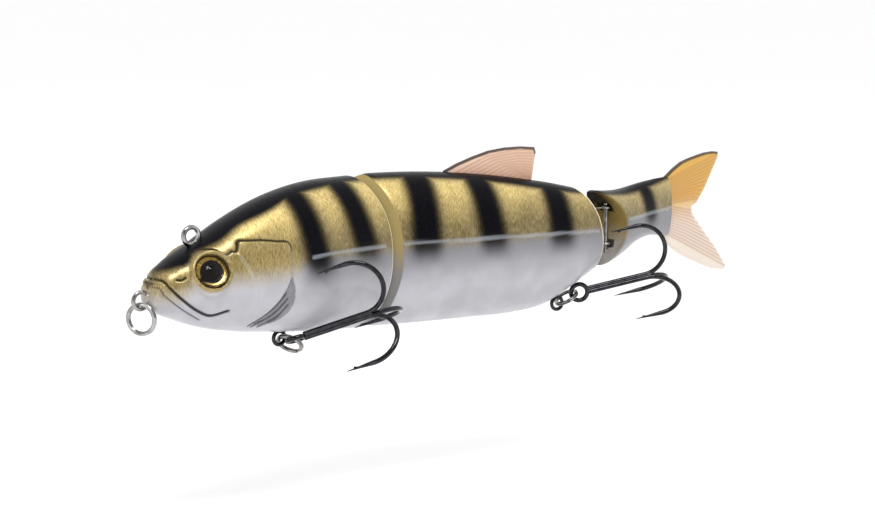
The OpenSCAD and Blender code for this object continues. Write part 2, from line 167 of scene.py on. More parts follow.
def ease(low, high, v):
    """0 where v is at low, 1 where it is at high, with a soft start and end."""
    t = np.clip((v - low) / (high - low), 0, 1)
    return t * t * (3 - 2 * t)


def rounded(points, steps=8):
    """A smooth line through points, with so many steps for each of them."""
    p = np.array(points, float)
    s = np.r_[0, np.cumsum(np.hypot(*np.diff(p, axis=0).T))]
    t = np.linspace(0, s[-1], steps * len(p))
    return np.c_[smooth(t, list(zip(s, p[:, 0]))), smooth(t, list(zip(s, p[:, 1])))]


def distance(x, z, line):
    """Distance of each (x, z) to a line of points."""
    best = np.full(x.shape, 1e9)
    for p, v in zip(line[:-1], np.diff(line, axis=0)):
        t = np.clip(((x - p[0]) * v[0] + (z - p[1]) * v[1]) / max(v @ v, 1e-9), 0, 1)
        best = np.minimum(best, np.hypot(x - p[0] - t * v[0], z - p[1] - t * v[1]))
    return best


def inside(x, z, line):
    """Whether each (x, z) is inside a closed line of points."""
    hit = np.zeros(x.shape, bool)
    for p, q in zip(line, np.roll(line, -1, axis=0)):
        crosses = (p[1] > z) != (q[1] > z)
        hit ^= crosses & (x < (q[0] - p[0]) * (z - p[1]) / (q[1] - p[1] + 1e-12) + p[0])
    return hit


# ---- Places of the sections ----
def about_z(x, degrees):
    """A turn about the upright line through (x, 0)."""
    turn = Matrix.Rotation(math.radians(degrees), 4, "Z")
    return Matrix.Translation((x, 0, 0)) @ turn @ Matrix.Translation((-x, 0, 0))


IN_HEAD = Matrix.Identity(4)
IN_MIDDLE = about_z(FRONT_PIN, FRONT_BEND)
IN_TAIL = IN_MIDDLE @ about_z(REAR_PIN, REAR_BEND)
ON_EYE = (Matrix.Translation(EYE) @ Matrix.Rotation(math.radians(EYE_AIM[2]), 4, "Z")
          @ Matrix.Rotation(math.radians(EYE_AIM[0]), 4, "X"))


def moved(points, place):
    """Points moved by the matrix place."""
    m = np.array(place)
    return points @ m[:3, :3].T + m[:3, 3]


# ---- Mesh helpers ----
def mesh_object(name, points, faces, place=IN_HEAD):
    """A mesh from points in millimetres in a section's own frame."""
    mesh = bpy.data.meshes.new(name)
    mesh.from_pydata((moved(np.asarray(points, float), place) * MM).tolist(), [], faces)
    mesh.validate()
    ob = bpy.data.objects.new(name, mesh)
    bpy.context.collection.objects.link(ob)
    return ob


def vertices(ob):
    """A mesh's points, in millimetres."""
    co = np.empty(len(ob.data.vertices) * 3, np.float32)
    ob.data.vertices.foreach_get("co", co)
    return co.reshape(-1, 3) / MM


def grid_faces(rows, columns, closed=False):
    """Quads of a grid of rows × columns of points, numbered row by row, with each row closed or open."""
    last = columns if closed else columns - 1
    return [(r * columns + c, (r + 1) * columns + c,
             (r + 1) * columns + (c + 1) % columns, r * columns + (c + 1) % columns)
            for r in range(rows - 1) for c in range(last)]


def cut(ob, cutter):
    """Takes the cutter's shape out of ob."""
    mod = ob.modifiers.new("cut", "BOOLEAN")
    mod.operation, mod.solver, mod.object = "DIFFERENCE", "EXACT", cutter
    graph = bpy.context.evaluated_depsgraph_get()
    mesh = bpy.data.meshes.new_from_object(ob.evaluated_get(graph))
    ob.modifiers.clear()
    ob.data = mesh
    bpy.data.objects.remove(cutter)


def box_cutter(low, high, place):
    """A box between two corners, in a section's own frame."""
    corners = [(x, y, z) for z in (low[2], high[2]) for y in (low[1], high[1]) for x in (low[0], high[0])]
    faces = [(0, 2, 3, 1), (4, 5, 7, 6), (0, 1, 5, 4), (2, 6, 7, 3), (0, 4, 6, 2), (1, 3, 7, 5)]
    return mesh_object("cutter", corners, faces, place)


def drum_cutter(centre, radius, height, place, sides=48):
    """An upright cylinder round its centre, in a section's own frame."""
    turns = [2 * math.pi * k / sides for k in range(sides)]
    ring = [(centre[0] + radius * math.cos(a), centre[1] + radius * math.sin(a)) for a in turns]
    points = [(x, y, centre[2] + h) for h in (-height / 2, height / 2) for x, y in ring]
    faces = [(k, (k + 1) % sides, sides + (k + 1) % sides, sides + k) for k in range(sides)]
    faces += [tuple(range(sides))[::-1], tuple(range(sides, 2 * sides))]
    return mesh_object("cutter", points, faces, place)


def fix_normals(ob):
    """Turns all faces outward."""
    bm = bmesh.new()
    bm.from_mesh(ob.data)
    bmesh.ops.recalc_face_normals(bm, faces=bm.faces)
    bm.to_mesh(ob.data)
    bm.free()


def finish_shading(ob, angle=38):
    """Smooth shading, with an edge kept sharp where its faces meet at more than angle."""
    ob.data.shade_smooth()
    ob.data.set_sharp_from_angle(angle=math.radians(angle))


def attribute(ob, name, values):
    """Stores three numbers at each point of a mesh, for its material to read."""
    layer = ob.data.attributes.new(name, "FLOAT_VECTOR", "POINT")
    layer.data.foreach_set("vector", np.ascontiguousarray(values, dtype=np.float32).ravel())


# ---- Relief of the head and flanks, as height above the plain skin ----
def groove(d, width, depth):
    return -depth * np.exp(-((d / width) ** 2))


def plate_area():
    """The gill plate's outline, closed below the eye."""
    return np.vstack([rounded(PLATE, 6), PLATE_CLOSING])


def recess_area():
    """The outline of the hollow behind the plate."""
    return np.vstack([rounded(PLATE, 6)[-RECESS_EDGE:], rounded(RECESS)[::-1]])


def head_relief(x, z):
    """The raised gill plate with the recess behind it, the cheek's ridge, the lip and the cut lines."""
    on_plate = inside(x, z, plate_area())
    to_plate = distance(x, z, rounded(PLATE, 6))
    raised = PLATE_RISE * ease(2.5, 10, x) * ease(0, 0.5, to_plate)
    h = np.where(on_plate, raised, groove(to_plate, *PLATE_GROOVE))
    in_recess = inside(x, z, recess_area()) & ~on_plate
    h -= np.where(in_recess, RECESS_DEPTH * ease(0, 0.6, distance(x, z, rounded(RECESS))), 0)
    h += CHEEK_RISE * np.exp(-((distance(x, z, rounded(CHEEK)) / 0.35) ** 2))
    for points, width, depth, _ in HEAD_LINES:
        h += groove(distance(x, z, rounded(points)), width, depth)
    mouth, lip = rounded(MOUTH), rounded(LIP)
    on_lip = inside(x, z, np.vstack([mouth, lip[::-1]]))
    to_edge = np.minimum(distance(x, z, mouth), distance(x, z, lip))
    return h + np.where(on_lip, LIP_RISE * ease(0, 0.6, to_edge), 0)


def lateral_relief(x, z):
    """The raised lateral line."""
    h = np.zeros(x.shape)
    for line in LATERAL:
        h += LATERAL_RISE * np.exp(-((distance(x, z, rounded(line)) / 0.5) ** 4))
    return h


def eye_relief(points, normals):
    """Pushes the eye socket in, flattens the land round it and raises a rim on that."""
    local = moved(points, ON_EYE.inverted())
    axis = np.array(ON_EYE)[:3, 2]
    r = np.hypot(local[:, 0], local[:, 1])
    near = (local[:, 2] > EYE_BACK_Z) & (r < EYE_REACH)
    rim = EYE_RIM_HEIGHT * np.exp(-(((r - EYE_RIM_R) / EYE_RIM_WIDTH) ** 4))
    out = np.where(near, rim, 0)[:, None] * normals
    land = np.where(near & (r < LAND_R), LAND_SHARE * (1 - ease(LAND_INNER_R, LAND_R, r)), 0)
    out += (land * (LAND_Z - local[:, 2]))[:, None] * axis
    floor = (SOCKET_Z - local[:, 2])[:, None] * axis
    in_socket = near & (r < SOCKET_R)
    return points + np.where(in_socket[:, None], floor, out)


# ---- Sections of the body ----
def skin(x, angle):
    """Width and height of the plain skin, with angle 0 at the back and pi at the belly."""
    middle = smooth(x, WIDEST)
    top, low = smooth(x, BACK) - middle, middle - smooth(x, BELLY)
    c = np.cos(angle)
    y = smooth(x, FLANK) * np.abs(np.sin(angle)) ** (2 / SQUARENESS)
    return y, middle + np.where(c > 0, top, low) * np.sign(c) * np.abs(c) ** (2 / SQUARENESS)


def share_of_skin(x, y, z):
    """How far out a point is: 0 on the fish's axis and 1 on its plain skin."""
    middle = smooth(x, WIDEST)
    reach = np.where(z > middle, smooth(x, BACK) - middle, middle - smooth(x, BELLY))
    across, high = np.abs(y / smooth(x, FLANK)), np.abs((z - middle) / reach)
    return (across ** SQUARENESS + high ** SQUARENESS) ** (1 / SQUARENESS)


# Each end face gives its x for any (y, z), as the function of the same name in part.scad
def head_front(y, z):
    return np.full(np.shape(y), SNOUT_X)


def head_rear(y, z):
    return HEAD_FACE_X - np.sqrt(HEAD_FACE_R**2 - y**2)


def middle_front(y, z):
    return NOSE_X - np.sqrt(np.maximum(1, NOSE_R**2 - y**2))


def middle_rear(y, z):
    upright = np.sqrt(np.maximum(0.01, 1 - ((z - MIDDLE_REAR_Z) / MIDDLE_REAR_R) ** 2))
    return MIDDLE_REAR_X - MIDDLE_REAR_CURVE * y**2 + MIDDLE_REAR_REACH * upright


def tail_front(y, z):
    return TAIL_FACE_X + np.sqrt(np.maximum(1, TAIL_FACE_R**2 - (z - TAIL_FACE_Z) ** 2))


def tail_rear(y, z):
    return np.full(np.shape(y), TAIL_END_X)


def end_face(points, faces, rim, face, middle, forward):
    """Fills a section's end inward from its rim, and returns its points on the seam from top to bottom."""
    ring = np.array([points[k] for k in rim])
    previous, high, low = rim, [rim[0]], [rim[-1]]
    for share in (0.93, 0.75, 0.5, 0.25):
        y, z = ring[:, 1] * share, middle + (ring[:, 2] - middle) * share
        new = [len(points) + j for j in range(len(rim))]
        points += list(np.c_[face(y, z), y, z])
        for j in range(len(rim) - 1):
            quad = (previous[j], previous[j + 1], new[j + 1], new[j])
            faces.append(quad if forward else quad[::-1])
        previous = new
        high.append(new[0])
        low.append(new[-1])
    centre = len(points)
    points.append([float(face(np.array(0.0), np.array(middle))), 0, middle])
    for j in range(len(rim) - 1):
        tri = (previous[j], previous[j + 1], centre)
        faces.append(tri if forward else tri[::-1])
    return high + [centre] + low[::-1]


def half_section(section, side, place, front, rear, x0, x1, columns, rows, relief):
    """Closed half of a section: skin, two end faces and the seam's plane."""
    angle = np.pi * np.linspace(0, 1, rows)
    y0, z0 = skin(np.full(rows, x0), angle)
    y1, z1 = skin(np.full(rows, x1), angle)
    middle0, middle1 = smooth(x0, WIDEST), smooth(x1, WIDEST)
    share = NOSE_SHARE if section == "middle" else 1
    start, end = front(y0 * share, middle0 + (z0 - middle0) * share), rear(y1, z1)
    t = np.linspace(0, 1, columns)[:, None]
    x = (1 - t) * start + t * end
    y, z = skin(x, np.broadcast_to(angle, x.shape))
    outer = np.stack([x, -y, z], axis=-1)
    normal = np.cross(np.gradient(outer, axis=1), np.gradient(outer, axis=0))
    normal /= np.linalg.norm(normal, axis=-1, keepdims=True) + 1e-12
    if normal[columns // 2, rows // 2, 1] > 0:
        normal = -normal

    h = lateral_relief(x, z)
    if relief:
        h = h + relief(x, z)
    h *= np.minimum(ease(0, 0.5, x - start), ease(0, 0.5, end - x)) * ease(0, 0.3, y)
    bevel = BEVEL * (1 - np.minimum(ease(0, BEVEL_LENGTH, x - start), ease(0, BEVEL_LENGTH, end - x)))
    if section == "middle":
        left = 1 - np.clip((x - start) / NOSE_ROUND, 0, 1)
        bevel += NOSE_DEPTH * (0.5 * left + 0.5 * (1 - np.sqrt(1 - left ** 2)))
    outer = (outer + (h - bevel)[..., None] * normal).reshape(-1, 3)
    if relief:
        outer = eye_relief(outer, normal.reshape(-1, 3))
    on_seam = np.tile(np.r_[True, np.zeros(rows - 2, bool), True], columns)
    outer[on_seam, 1] = 0

    points, faces = list(outer), grid_faces(columns, rows)
    last = (columns - 1) * rows
    front_seam = end_face(points, faces, list(range(rows)), front, middle0, True)
    rear_seam = end_face(points, faces, list(range(last, last + rows)), rear, middle1, False)
    top, low = list(range(0, last + 1, rows)), list(range(rows - 1, last + rows, rows))
    seam = top + rear_seam[1:-1] + low[::-1] + front_seam[::-1][1:-1]
    faces.append(tuple(seam[::-1]))
    points = np.array(points)
    if side == "right":
        points[:, 1] *= -1
        faces = [f[::-1] for f in faces]
    return mesh_object(f"{section}_{side}", points, faces, place)


# ---- Paint ----
def end_paint(section, x, y, z):
    """Where a section's end faces are, and their colour, with painted highlights on the head's and middle's
    rims and painted shade on the middle's nose.
    """
    upper, lower = END_COLOURS[section]
    low = ease(-5, -15, z)[:, None]
    colour = (1 - low) * upper + low * lower
    # The head's thin band at its rear face: a painted highlight on the rim
    if section == "head":
        return ease(0.5, 0.2, np.abs(x - head_rear(y, z))), colour
    if section == "tail":
        colour *= (1 - 0.95 * ease(-5.5, 0, z) * ease(-5.5, 0, y))[:, None]
        return ease(0.5, 0.2, np.abs(x - tail_front(y, z))), colour
    out = share_of_skin(x, y, z)
    on_nose = ease(0.993, 0.982, out) * (x < MIDDLE_HALFWAY_X)
    # Painted highlight along the middle's rear rim
    rear_rim_highlight = ease(0.6, 0.3, np.abs(x - middle_rear(y, z)))
    # Painted shade: the nose is darker deeper in, in the gap behind the head's rim
    colour *= 1 - 0.9 * ease(0.935, 0.9, out)[:, None]
    colour[x > MIDDLE_HALFWAY_X] = MIDDLE_REAR_HIGHLIGHT
    return np.maximum(on_nose, rear_rim_highlight), colour


def inked(x, z, points, half):
    """The ink along a line of so much half width."""
    return ease(half + INK_SOFT, half - INK_SOFT, distance(x, z, rounded(points, 6)))


def head_paint(x, y, z, dark, gold, line):
    """Adds the plate, the cut lines, the recess and the eye's surroundings to the head's paint, with
    painted highlights along the cheek and the plate's lower edge and painted shade in the recess and the
    eye socket.
    """
    on_plate = inside(x, z, plate_area())
    etched = ease(-6, -3, z) * inked(x, z, PLATE, PLATE_INK)
    for points, _, _, half in HEAD_LINES:
        etched = np.maximum(etched, inked(x, z, points, half))
    dark = np.maximum(np.where(on_plate, 0, dark), 0.88 * etched)

    local = moved(np.c_[x, -np.abs(y), z], ON_EYE.inverted())
    from_eye = np.hypot(local[:, 0], local[:, 1])
    land = LAND_R + 0.2
    by_eye = (local[:, 2] > EYE_BACK_Z) & (from_eye < land)
    # Around the eye only the socket's wall is inked: a painted shadow of the socket
    dark = np.where(by_eye, 0.9 * ease(4.2, 3.95, from_eye), dark)

    # Painted highlights along the cheek's ridge and the plate's lower edge, carried with the lateral line
    line = np.maximum(line, 0.65 * ease(0.45, 0.15, distance(x, z, rounded(CHEEK))))
    line = np.maximum(line, 0.7 * ease(0.5, 0.2, distance(x, z, rounded(PLATE, 6))) * ease(-3, -6, z))
    recess = inside(x, z, recess_area()) & ~on_plate
    gold = np.where(by_eye, np.maximum(gold, ease(land, land - 0.3, from_eye)), gold)
    # The recess has no gold, and is darkened as painted shade
    gold = np.where(recess, 0, gold)
    dark = np.maximum(dark, np.where(recess, 0.5, 0))
    return dark, gold, line


def paint(ob, place, section):
    """Stores the straight fish's coordinates and the paint's masks on a section's points."""
    p = moved(vertices(ob), place.inverted())
    x, y, z = p.T

    # Ink: the back, and bars that go on below where they fade as softer and wider patches
    dark = ease(-0.9, 0.7, z - smooth(x, BLACK_BACK))
    for x_mid, slant, half, fade in BARS:
        off = np.abs(x - x_mid - slant * (z - BAR_Z))
        bar = ease(half + 1.9, half - 2, off) * ease(fade - 2.5, fade + 2.5, z)
        patch = 0.85 * ease(half + 3, half - 2.5, off) * ease(fade - 6.5, fade + 0.5, z)
        dark = np.maximum(dark, 1 - (1 - bar) * (1 - patch))

    # Gold: full above high and gone below low, which are both higher on the body and lower on the snout
    behind_head, on_tail, on_snout = ease(20, 28, x), ease(118, 125, x), ease(-2, -8, x)
    low = -13.5 + 4.5 * behind_head + 4 * on_tail - 3 * on_snout
    high = -6.5 + 1.4 * behind_head + 0.8 * on_tail - 3 * on_snout
    gold = ease(0, 1, (z - low) / (high - low))

    line = np.zeros(x.shape)
    for points in LATERAL:
        line = np.maximum(line, ease(0.62, 0.25, distance(x, z, rounded(points))))
    if section == "head":
        dark, gold, line = head_paint(x, y, z, dark, gold, line)
    end, colour = end_paint(section, x, y, z)
    attribute(ob, "straight", p)
    attribute(ob, "paint", np.c_[dark, gold, line])
    attribute(ob, "ends", np.c_[end, end, end])
    attribute(ob, "face", colour)


# ---- Numbers at each point of a surface, from shader nodes ----
class Field:
    """A number that nodes compute at each point of a surface."""

    def __init__(self, tree, socket):
        self.tree, self.socket = tree, socket

    def op(self, kind, *others):
        node = self.tree.nodes.new("ShaderNodeMath")
        node.operation = kind
        for slot, value in zip(node.inputs, (self, *others)):
            if isinstance(value, Field):
                self.tree.links.new(value.socket, slot)
            else:
                slot.default_value = value
        return Field(self.tree, node.outputs[0])

    def __add__(self, other):
        return self.op("ADD", other)

    def __sub__(self, other):
        return self.op("SUBTRACT", other)

    def __mul__(self, other):
        return self.op("MULTIPLY", other)

    def __truediv__(self, other):
        return self.op("DIVIDE", other)

    def ease(self, low, high, to_low=0.0, to_high=1.0):
        node = self.tree.nodes.new("ShaderNodeMapRange")
        node.interpolation_type = "SMOOTHSTEP"
        self.tree.links.new(self.socket, node.inputs["Value"])
        for key, value in (("From Min", low), ("From Max", high), ("To Min", to_low), ("To Max", to_high)):
            node.inputs[key].default_value = value
        return Field(self.tree, node.outputs["Result"])


class Surface:
    """A procedural material under construction."""

    def __init__(self, name, **constant):
        self.material = bpy.data.materials.new(name)
        self.material.use_nodes = True
        self.tree = self.material.node_tree
        self.shader = self.tree.nodes["Principled BSDF"]
        for key, value in constant.items():
            self.shader.inputs[key.replace("_", " ")].default_value = value

    def link(self, value, socket):
        self.tree.links.new(value.socket if isinstance(value, Field) else value, self.shader.inputs[socket])

    def vector(self, name):
        node = self.tree.nodes.new("ShaderNodeAttribute")
        node.attribute_name = name
        return node.outputs["Vector"]

    def object_vector(self):
        """The point's place in the object's own frame, in millimetres."""
        node = self.tree.nodes.new("ShaderNodeTexCoord")
        mult = self.tree.nodes.new("ShaderNodeVectorMath")
        mult.operation = "SCALE"
        mult.inputs["Scale"].default_value = 1 / MM
        self.tree.links.new(node.outputs["Object"], mult.inputs[0])
        return mult.outputs[0]

    def parts(self, vector):
        node = self.tree.nodes.new("ShaderNodeSeparateXYZ")
        self.tree.links.new(vector, node.inputs[0])
        return [Field(self.tree, s) for s in node.outputs]

    def noise(self, vector, scale, detail=3.0, rough=0.55):
        node = self.tree.nodes.new("ShaderNodeTexNoise")
        self.tree.links.new(vector, node.inputs["Vector"])
        node.inputs["Scale"].default_value = scale
        node.inputs["Detail"].default_value = detail
        node.inputs["Roughness"].default_value = rough
        return Field(self.tree, node.outputs["Fac"])

    def join(self, x, y, z=0.0):
        node = self.tree.nodes.new("ShaderNodeCombineXYZ")
        for slot, value in zip(node.inputs, (x, y, z)):
            if isinstance(value, Field):
                self.tree.links.new(value.socket, slot)
            else:
                slot.default_value = value
        return node.outputs[0]

    def speckle(self, vector):
        node = self.tree.nodes.new("ShaderNodeTexWhiteNoise")
        self.tree.links.new(vector, node.inputs["Vector"])
        return Field(self.tree, node.outputs["Value"])

    def mix(self, amount, a, b):
        """Mixes two colours, each a triple or a node's output."""
        node = self.tree.nodes.new("ShaderNodeMix")
        node.data_type = "RGBA"
        factor = next(s for s in node.inputs if s.name == "Factor" and s.type == "VALUE")
        first, second = [next(s for s in node.inputs if s.name == n and s.type == "RGBA") for n in "AB"]
        for slot, value in ((factor, amount), (first, a), (second, b)):
            if isinstance(value, Field):
                self.tree.links.new(value.socket, slot)
            elif isinstance(value, (tuple, list)):
                slot.default_value = (*value, 1)
            elif isinstance(value, (int, float)):
                slot.default_value = value
            else:
                self.tree.links.new(value, slot)
        return next(s for s in node.outputs if s.type == "RGBA")

    def bump(self, height, distance_mm, strength):
        node = self.tree.nodes.new("ShaderNodeBump")
        node.inputs["Distance"].default_value = distance_mm * MM
        node.inputs["Strength"].default_value = strength
        self.tree.links.new(height.socket, node.inputs["Height"])
        self.tree.links.new(node.outputs["Normal"], self.shader.inputs["Normal"])


def scale_height(s, x, z, long, tall):
    """Overlapping fish scales, as two staggered lattices of domes.

    Returns their height and a random number for each scale.
    """
    domes, cells = [], []
    for shift in (0.0, 0.5):
        u, v = x / long + shift, z / tall + shift
        cu, cv = u.op("FLOOR"), v.op("FLOOR")
        fu, fv = (u - cu) - 0.5, (v - cv) - 0.5
        domes.append((fu * fu + fv * fv).op("MULTIPLY_ADD", -2.6, 1.0))
        cells.append(s.speckle(s.join(cu, cv, shift)))
    height = domes[0].op("MAXIMUM", domes[1])
    first = domes[0].op("GREATER_THAN", domes[1])
    return height, cells[0] * first + cells[1] * (first.op("MULTIPLY_ADD", -1.0, 1.0))


def painted_shell():
    """Gold foil over pearl with ink on top, in faint scales behind the head, with painted light higher on
    the back, painted shade in the scales' creases and painted highlights along the head's ridges.
    """
    s = Surface("painted_shell", Coat_Roughness=0.05)
    straight = s.vector("straight")
    x, y, z = s.parts(straight)
    dark, gold, line = s.parts(s.vector("paint"))
    end = s.parts(s.vector("ends"))[0]
    height, cell = scale_height(s, x, z, SCALE_LONG, SCALE_TALL)
    skin_only = end.ease(0.3, 0.7, 1.0, 0.0)
    behind = x.ease(20, 27)
    scaled = behind * z.ease(-19, -8) * skin_only
    # Painted shade in the creases between the scales
    crease_shade = height.ease(0.45, 0.8, 1.0, 0.0) * scaled
    fine = s.noise(s.join(x * 4.5, z * 0.8, y), 1.0, 4.0, 0.6)
    cloud = s.noise(straight, 0.12, 2.0)

    # Painted light: the foil lighter higher up the body, and lighter on the head
    painted_light = (z + cloud * 7.0).ease(-1, 12) + behind.ease(0.0, 1.0, 0.3, 0.0)
    foil = s.mix(fine.ease(0.3, 0.7), s.mix(painted_light, *DEEP_GOLD_SHADED_LIT), s.mix(painted_light, *PALE_GOLD_SHADED_LIT))
    foil = s.mix(cell.ease(0.4, 1.0) * scaled * 0.08, foil, GOLD_SCALE)
    foil = s.mix(crease_shade * 0.25, foil, GOLD_CREASE_SHADE)
    pearl = s.mix(cloud.ease(0.35, 0.7), *PEARL)
    pearl = s.mix(behind * z.ease(-19, -7) * 0.85, pearl, PEARL_FLANK)
    pearl = s.mix(crease_shade * 0.2, pearl, PEARL_CREASE_SHADE)
    colour = s.mix(gold, pearl, foil)
    # Ink, with the painted shade of the recess and the eye socket
    colour = s.mix(dark, colour, s.mix(fine.ease(0.3, 0.8), *INK_AND_PAINTED_SHADE))
    # The lateral line, and the painted highlights on the head's ridges
    colour = s.mix(line * skin_only * 0.4, colour, LINE_AND_HIGHLIGHT_GREY)
    # End faces: the rims' painted highlights, the middle nose's painted shade and the tail face's own paint
    colour = s.mix(end.ease(0.35, 0.75), colour, s.vector("face"))

    s.link(colour, "Base Color")
    s.link(gold * 0.4 * dark.ease(0.1, 0.6, 1.0, 0.0) * skin_only, "Metallic")
    s.link(dark.ease(0.1, 0.9, 0.4, 0.05) * end.ease(0.3, 0.8, 1.0, 0.1), "Specular IOR Level")
    s.link(dark.ease(0.1, 0.9, 0.22, 0.04) * skin_only, "Coat Weight")
    s.link(fine.ease(0.2, 0.9, 0.26, 0.38) + cell * scaled * 0.08 + end * 0.3, "Roughness")
    s.bump(height * scaled * 0.8 + fine * 0.15 + s.noise(straight, 3.0) * 0.1, 0.07, 0.6)
    return s.material


def metal(name, low, high, rough, scratch, coat=0.0):
    """Metal that varies between two colours, with fine scratches."""
    s = Surface(name, Metallic=1.0, Coat_Weight=coat, Coat_Roughness=0.08)
    p = s.object_vector()
    cloud, fine = s.noise(p, 0.5), s.noise(p, 6.0, 5.0, 0.65)
    s.link(s.mix(cloud.ease(0.3, 0.7), low, high), "Base Color")
    s.link(fine.ease(0.25, 0.8, rough * 0.7, rough * 1.5), "Roughness")
    s.bump(fine + cloud * 0.5, scratch, 0.5)
    return s.material


def eye_gold():
    """Foil iris: fine rays round the pupil, with a painted highlight below it and a painted shadow at its
    outer edge.
    """
    s = Surface("eye_foil", Metallic=0.6)
    x, _, z = s.parts(s.object_vector())
    across, high = x - EYE[0], z - EYE[2]
    rays = s.noise(s.join(high / (across.op("ABSOLUTE") + 0.4), 0.0, 0.0), 3.0, 4.0, 0.7)
    # The eye is set at a slant, so its circles are ellipses in x and z
    reach = (across * across * 1.1 + high * high * 1.25).op("SQRT")
    rim = (reach + rays * 0.3).ease(3.35, 3.8)
    base = s.mix(rays.ease(0.3, 0.7), (0.16, 0.09, 0.012), (0.50, 0.32, 0.06))
    # Painted highlight on the iris below the pupil
    base = s.mix(high.ease(-1.2, -2.6), base, (1.0, 0.74, 0.20))
    # Painted shadow of the socket round the iris's outer edge
    s.link(s.mix(rim, base, (0.07, 0.038, 0.006)), "Base Color")
    s.link(rays.ease(0.2, 0.8, 0.18, 0.34), "Roughness")
    s.bump(rays, 0.05, 0.6)
    return s.material


def eye_black():
    s = Surface("eye_black", Specular_IOR_Level=0.03)
    n = s.noise(s.object_vector(), 2.0)
    s.link(s.mix(n, (0.001, 0.001, 0.001), (0.006, 0.005, 0.004)), "Base Color")
    s.link(n.ease(0.2, 0.8, 0.12, 0.22), "Roughness")
    s.bump(n, 0.01, 0.3)
    return s.material


def eye_clear():
    s = Surface("eye_clear", Transmission_Weight=1.0, IOR=1.2)
    n = s.noise(s.object_vector(), 1.5)
    s.link(s.mix(n, (1.0, 0.99, 0.96), (0.97, 0.95, 0.9)), "Base Color")
    s.link(n.ease(0.3, 0.7, 0.0, 0.02), "Roughness")
    s.bump(n, 0.002, 0.2)
    return s.material


def soft_fin(name, lower, upper):
    """Translucent soft plastic in two colours, darker along the rays and at the leading edge."""
    s = Surface(name, Transmission_Weight=0.25, IOR=1.42, Coat_Weight=0.2, Coat_Roughness=0.25)
    p = s.object_vector()
    second, ray, rim = s.parts(s.vector("fin"))
    n = s.noise(p, 0.8)
    colour = s.mix((second + n * 0.16).ease(0.1, 0.9), lower, upper)
    colour = s.mix(ray * 0.6, colour, (0.46, 0.18, 0.07))
    colour = s.mix(rim.ease(0.3, 0.9) * 0.93, colour, (0.035, 0.022, 0.02))
    s.link(colour, "Base Color")
    s.link(n.ease(0.3, 0.7, 0.32, 0.46), "Roughness")
    s.bump(s.noise(p, 4.0, 4.0) + ray * 0.6, 0.05, 0.5)
    return s.material


# ---- Fins with rays ----
def grid_inside(line, step, margin):
    """Staggered points over a closed line's inside, no nearer to it than margin."""
    (x0, z0), (x1, z1) = line.min(axis=0), line.max(axis=0)
    x, z = np.meshgrid(np.arange(x0, x1, step), np.arange(z0, z1, step))
    x = x + step / 2 * (np.arange(x.shape[0]) % 2)[:, None]
    ok = inside(x, z, line) & (distance(x, z, np.vstack([line, line[:1]])) > margin)
    return np.c_[x[ok], z[ok]]


def fan(first, last, count):
    """So many rays in even steps from the first to the last, each a line of points."""
    first, last = np.array(first, float), np.array(last, float)
    return [first + (last - first) * k / (count - 1) for k in range(count)]


def fin(name, outline, rays, dark_edge, place, body, fade, node, material):
    """A soft fin filled as a fine grid, thinner at its edge and with raised rays.

    Its second colour comes in between the two heights of fade.
    """
    line = np.array(outline, float)
    edge = []
    for p, q in zip(line, np.roll(line, -1, axis=0)):
        n = max(1, int(np.hypot(*(q - p)) / FIN_EDGE_STEP))
        edge += [p + (q - p) * k / n for k in range(n)]
    flat = [Vector(v) for v in (*edge, *grid_inside(line, FIN_GRID, FIN_MARGIN))]
    co, _, tris, *_ = delaunay_2d_cdt(flat, [], [list(range(len(edge)))], 1, 1e-5)
    x, z = np.array([tuple(c) for c in co]).T
    rim = distance(x, z, np.vstack([line, line[:1]]))
    ray = np.zeros(len(x))
    for points in rays:
        ray = np.maximum(ray, np.exp(-((distance(x, z, points) / RAY_WIDTH) ** 2)))
    half = FIN_T / 2 * (0.45 + 0.35 * ease(0, 1.2, rim)) + RAY_HEIGHT * ray * ease(0.2, 0.8, rim)
    half = np.where(rim < 0.02, FIN_T * FIN_EDGE_SHARE, half)

    n = len(x)
    points = np.vstack([np.c_[x, -half, z], np.c_[x, half, z]])
    faces = [tuple(t) for t in tris] + [tuple(i + n for i in t[::-1]) for t in tris]
    edges = dict.fromkeys(pair for t in tris for pair in zip(t, t[1:] + t[:1]))
    faces += [(b, a, a + n, b + n) for a, b in edges if (b, a) not in edges]
    ob = mesh_object(name, points, faces, place)
    dark = ease(1.1, 0.4, distance(x, z, np.array(dark_edge, float)))
    second = np.clip((z - fade[0]) / (fade[1] - fade[0]), 0, 1)
    attribute(ob, "fin", np.tile(np.c_[second, ray * ease(0.1, 0.6, rim), dark], (2, 1)))
    bpy.context.view_layer.update()
    fix_normals(ob)
    finish_shading(ob, 50)
    ob.data.materials.append(material)
    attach(ob, body)
    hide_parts(node)


# ---- Split rings ----
def split_ring(name, node, body, outer_d, material):
    """A split ring's two flat turns of wire, which cross over at the split."""
    centre, first, second = ring_frame(node)
    normal = np.cross(first, second)
    thick, sides = RING_WIRE_D / 2, 16
    mean = (outer_d - RING_WIRE_D) / 2
    turns = np.linspace(0, 4 * np.pi - 0.5, 150)
    lift = (ease(2 * np.pi - 1.2, 2 * np.pi + 0.6, turns) - 0.5) * (RING_WIRE_D - thick)
    points = []
    for turn, up in zip(turns, lift):
        out = math.cos(turn) * first + math.sin(turn) * second
        for a in 2 * np.pi * np.arange(sides) / sides:
            across = mean + RING_WIRE_D / 2 * math.cos(a)
            points.append(centre + across * out + (up + thick / 2 * math.sin(a)) * normal)
    faces = grid_faces(len(turns), sides, closed=True)
    faces += [tuple(range(sides)), tuple(range(len(points) - sides, len(points)))]
    ob = mesh_object(name, points, faces)
    fix_normals(ob)
    finish_shading(ob, 60)
    ob.data.materials.append(material)
    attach(ob, body)
    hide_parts(node)


